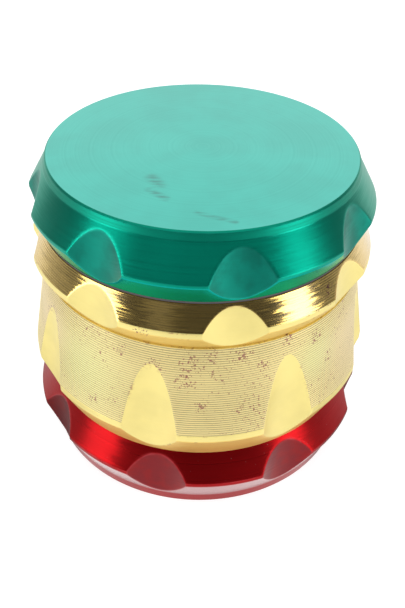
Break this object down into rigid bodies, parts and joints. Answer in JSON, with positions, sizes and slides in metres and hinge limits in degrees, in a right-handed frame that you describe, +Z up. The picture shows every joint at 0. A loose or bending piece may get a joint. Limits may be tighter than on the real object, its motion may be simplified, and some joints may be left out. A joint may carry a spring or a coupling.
{
  "type": "herb grinder",
  "caption": "Round hand grinder in stacked scalloped metal sections: a toothed lid turns on a toothed chamber above a collector drum with a sieve and a powder tray.",
  "frame": {"origin": "middle of the tray's flat foot, on the common axis of all sections", "axes": "+Z up along the common axis; -Y faces the pictured front"},
  "size_m": [0.063, 0.063, 0.0562],
  "materials": {
    "red_anodised": "turned and anodised red",
    "gold_grooved": "fine turned grooves, anodised gold, worn",
    "gold_bright": "bright turned, anodised gold",
    "green_anodised": "satin turned, anodised green",
    "steel_mesh": "woven stainless wire",
    "steel_ring": "plain spring steel",
    "nickel_plate": "nickel plated magnet",
    "slip_plastic": "smooth grey slip plastic"
  },
  "bodies": {
    "tray": {"powder_tray": "red_anodised"},
    "collector_slider": {"sieve_retaining_ring": "steel_ring"},
    "collector": {"collector_drum": "gold_grooved", "sieve_mesh": "steel_mesh"},
    "chamber_slider": {"chamber_magnet": "nickel_plate"},
    "chamber": {"grinding_chamber": "gold_bright"},
    "lid_slider": {"friction_ring": "slip_plastic"},
    "lid": {"lid": "green_anodised", "lid_magnet": "nickel_plate"}
  },
  "joints": [
    {"name": "collector_rise", "type": "slide", "parent": "tray", "child": "collector_slider", "axis": [0, 0, 1], "range_m": [0, 0.003]},
    {"name": "collector_unscrew", "type": "hinge", "parent": "collector_slider", "child": "collector", "pos_m": [0, 0, 0.01265], "axis": [0, 0, 1], "range_deg": [0, 720]},
    {"name": "chamber_rise", "type": "slide", "parent": "collector", "child": "chamber_slider", "axis": [0, 0, 1], "range_m": [0, 0.003]},
    {"name": "chamber_unscrew", "type": "hinge", "parent": "chamber_slider", "child": "chamber", "pos_m": [0, 0, 0.036], "axis": [0, 0, 1], "range_deg": [0, 720]},
    {"name": "lid_lift", "type": "slide", "parent": "chamber", "child": "lid_slider", "axis": [0, 0, 1], "range_m": [0, 0.03]},
    {"name": "lid_turn", "type": "hinge", "parent": "lid_slider", "child": "lid", "pos_m": [0, 0, 0.0451], "axis": [0, 0, 1], "continuous": true}
  ],
  "couplings": [
    {"joint": "collector_rise", "follows": "collector_unscrew", "m_per_rad": 0.0002387},
    {"joint": "chamber_rise", "follows": "chamber_unscrew", "m_per_rad": 0.0002387}
  ]
}
